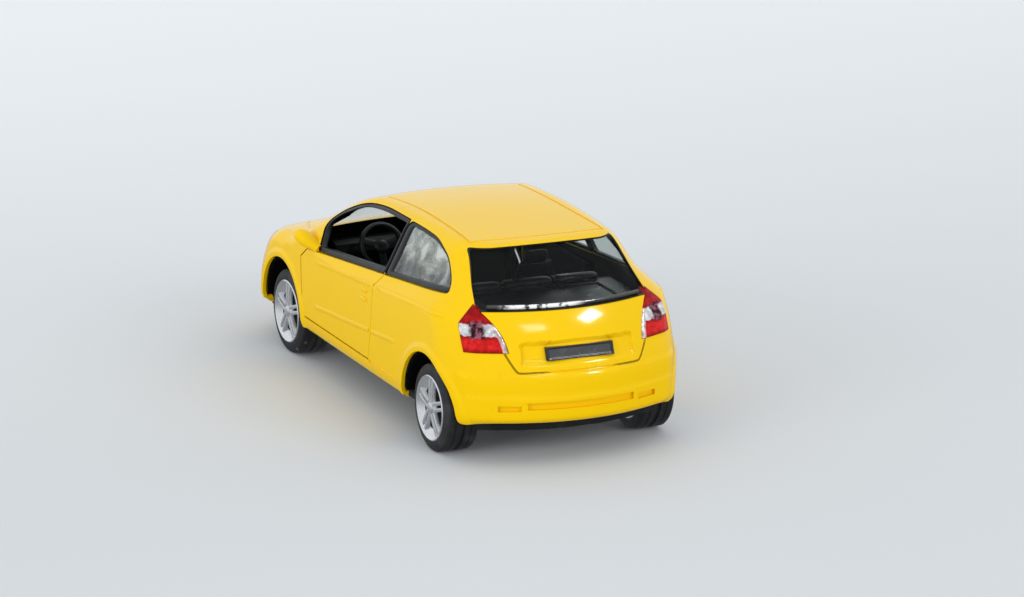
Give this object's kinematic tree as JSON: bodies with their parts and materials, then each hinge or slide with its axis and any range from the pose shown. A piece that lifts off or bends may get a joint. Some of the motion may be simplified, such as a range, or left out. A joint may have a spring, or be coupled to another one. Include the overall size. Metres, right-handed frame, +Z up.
{
  "type": "toy car",
  "caption": "Small toy hatchback car with hinged doors, clear window moulding, furnished cabin and free-running wheels on a screwed chassis.",
  "frame": {"origin": "centre of the bounding box at ground height, under the tyres", "axes": "+X towards the nose, +Y towards the car's left side, +Z up"},
  "size_m": [0.1147, 0.0548, 0.04],
  "materials": {
    "paint": "gloss",
    "black_plastic": "satin",
    "cabin": "matt",
    "clear": "polished",
    "tail_lens": "gloss",
    "head_lens": "gloss",
    "plate": "satin",
    "steel": "brushed",
    "rim": "silvered",
    "tyre": "matt"
  },
  "bodies": {
    "car": {"body_shell": "paint", "chassis": "black_plastic", "front_screw": "steel", "rear_screw": "steel", "interior_tub": "cabin", "dashboard": "cabin", "steering_wheel": "cabin", "driver_seat": "cabin", "passenger_seat": "cabin", "window_glazing": "clear", "left_quarter_trim": "black_plastic", "right_quarter_trim": "black_plastic", "left_tail_light": "tail_lens", "right_tail_light": "tail_lens", "left_headlight": "head_lens", "right_headlight": "head_lens", "front_grille": "black_plastic", "number_plate": "plate"},
    "left_door_leaf": {"left_door": "paint", "left_door_trim": "black_plastic", "left_window_frame": "black_plastic", "left_mirror": "paint", "left_hinge_pin": "steel"},
    "right_door_leaf": {"right_door": "paint", "right_door_trim": "black_plastic", "right_window_frame": "black_plastic", "right_mirror": "paint", "right_hinge_pin": "steel"},
    "front_wheels": {"front_axle": "steel", "front_left_rim": "rim", "front_right_rim": "rim", "front_left_tyre": "tyre", "front_right_tyre": "tyre"},
    "rear_wheels": {"rear_axle": "steel", "rear_left_rim": "rim", "rear_right_rim": "rim", "rear_left_tyre": "tyre", "rear_right_tyre": "tyre"}
  },
  "joints": [
    {"name": "left_door_hinge", "type": "hinge", "parent": "car", "child": "left_door_leaf", "pos_m": [0.0197, 0.0231, 0.0157], "axis": [0, 0, -1], "range_deg": [0, 50]},
    {"name": "right_door_hinge", "type": "hinge", "parent": "car", "child": "right_door_leaf", "pos_m": [0.0197, -0.0231, 0.0157], "axis": [0, 0, 1], "range_deg": [0, 50]},
    {"name": "front_axle_spin", "type": "hinge", "parent": "car", "child": "front_wheels", "pos_m": [0.033, 0, 0.0084], "axis": [0, 1, 0], "continuous": true},
    {"name": "rear_axle_spin", "type": "hinge", "parent": "car", "child": "rear_wheels", "pos_m": [-0.0392, 0, 0.0084], "axis": [0, 1, 0], "continuous": true}
  ]
}
